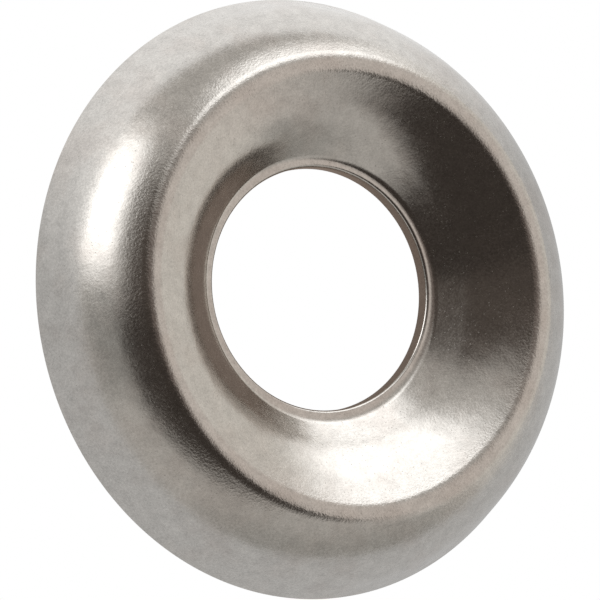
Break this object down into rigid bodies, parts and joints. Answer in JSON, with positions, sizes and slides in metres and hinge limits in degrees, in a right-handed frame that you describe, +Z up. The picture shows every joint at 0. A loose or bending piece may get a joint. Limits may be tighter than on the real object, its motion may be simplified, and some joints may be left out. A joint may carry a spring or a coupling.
{
  "type": "finishing cup washer",
  "caption": "Pressed sheet-metal cup washer with a sloped skirt, a rounded crest and a dished cup that takes the head of a countersunk screw.",
  "frame": {"origin": "centre of the plane that the foot of the skirt stands on", "axes": "+Z up along the washer's axis, out of the open cup; X and Y lie in the foot's plane, and any turn about Z is the same"},
  "size_m": [0.016, 0.016, 0.0027],
  "materials": {
    "washer_metal": "tumbled satin with fine pits"
  },
  "bodies": {
    "root": {"cup_washer": "washer_metal"}
  },
  "joints": []
}
